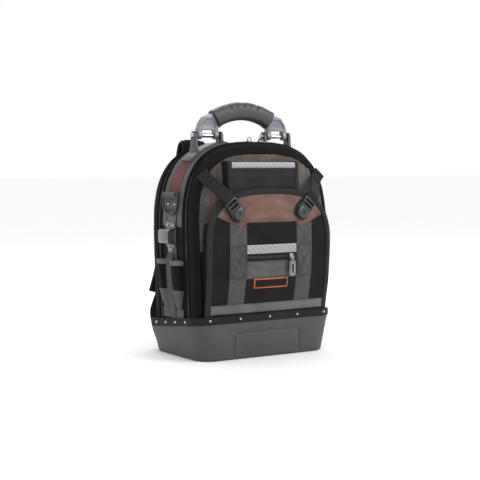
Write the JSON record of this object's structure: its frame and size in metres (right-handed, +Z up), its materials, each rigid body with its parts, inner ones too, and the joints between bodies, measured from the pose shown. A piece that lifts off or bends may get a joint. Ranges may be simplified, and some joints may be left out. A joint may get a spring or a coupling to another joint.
{
  "type": "tool backpack",
  "caption": "Arched technician's backpack on a moulded base, with zipped compartments, front pocket, meter pouch, side sleeves, D-ring, tool clip, padded straps and a folding grip handle.",
  "frame": {"origin": "middle of the base's underside, on the floor the backpack stands on", "axes": "+Z up the backpack, +Y to the wearer's back (the shoulder straps), -Y to the front pocket, +X to the viewer's right seen from the front"},
  "size_m": [0.3722, 0.2819, 0.5435],
  "materials": {
    "black_cloth": "matte woven",
    "black_webbing": "matte webbing",
    "grey_webbing": "matte webbing",
    "grey_trim": "matte woven",
    "brown_cloth": "matte woven",
    "taupe_cloth": "matte woven",
    "base_plastic": "satin",
    "buckle_plastic": "satin",
    "reflective_tape": "satin",
    "handle_metal": "satin",
    "grip_rubber": "matte",
    "bright_steel": "satin",
    "orange_edge": "matte"
  },
  "bodies": {
    "bag": {"back_panel": "black_cloth", "base_tray": "base_plastic", "box_patch_left": "grey_webbing", "box_patch_right": "grey_webbing", "bracket_left": "buckle_plastic", "bracket_right": "buckle_plastic", "buckle_left": "buckle_plastic", "buckle_patch_left": "black_webbing", "buckle_patch_right": "black_webbing", "buckle_right": "buckle_plastic", "flap_reflector": "reflective_tape", "foot_band": "grey_webbing", "front_trim": "grey_trim", "front_zip_ring": "black_cloth", "left_side_patch": "brown_cloth", "lower_front_panel": "black_cloth", "lower_webbing_left": "black_webbing", "lower_webbing_right": "black_webbing", "meter_pouch": "black_cloth", "pin_left": "bright_steel", "pin_right": "bright_steel", "pocket_binding": "black_webbing", "pocket_front": "black_cloth", "pocket_gusset": "black_cloth", "pocket_label": "orange_edge", "pocket_reflector": "reflective_tape", "pocket_yoke": "brown_cloth", "pocket_zip": "black_webbing", "pouch_flap": "black_cloth", "rear_trim": "grey_trim", "rear_zip_ring": "black_cloth", "right_side_patch": "brown_cloth", "rim_strip": "black_webbing", "ring_tab": "grey_webbing", "shoulder_strap_left": "black_cloth", "shoulder_strap_right": "black_cloth", "side_webbing": "grey_webbing", "sleeve_front": "black_cloth", "sleeve_front_binding": "grey_webbing", "sleeve_rear": "black_cloth", "sleeve_rear_binding": "grey_webbing", "spine_band": "black_cloth", "strap_left": "black_webbing", "strap_right": "black_webbing", "tool_clip": "bright_steel", "top_slider_left": "bright_steel", "top_slider_right": "bright_steel", "upper_front_panel": "taupe_cloth", "webbing_left": "grey_webbing", "webbing_right": "grey_webbing", "zip_panel": "grey_webbing", "zip_slider": "bright_steel"},
    "handle": {"arm_left": "handle_metal", "arm_right": "handle_metal", "handle_grip": "grip_rubber"},
    "ring": {"d_ring": "buckle_plastic"},
    "pull": {"zip_pull": "bright_steel"}
  },
  "joints": [
    {"name": "handle_fold", "type": "hinge", "parent": "bag", "child": "handle", "pos_m": [0, -0.007, 0.4705], "axis": [1, 0, 0], "range_deg": [-70, 70]},
    {"name": "ring_swing", "type": "hinge", "parent": "bag", "child": "ring", "pos_m": [-0.17961, -0.007, 0.346], "axis": [0, 1, 0], "range_deg": [0, 150]},
    {"name": "pull_swing", "type": "hinge", "parent": "bag", "child": "pull", "pos_m": [0.047, -0.13289, 0.2115], "axis": [-1, 0, 0], "range_deg": [0, 100]}
  ]
}
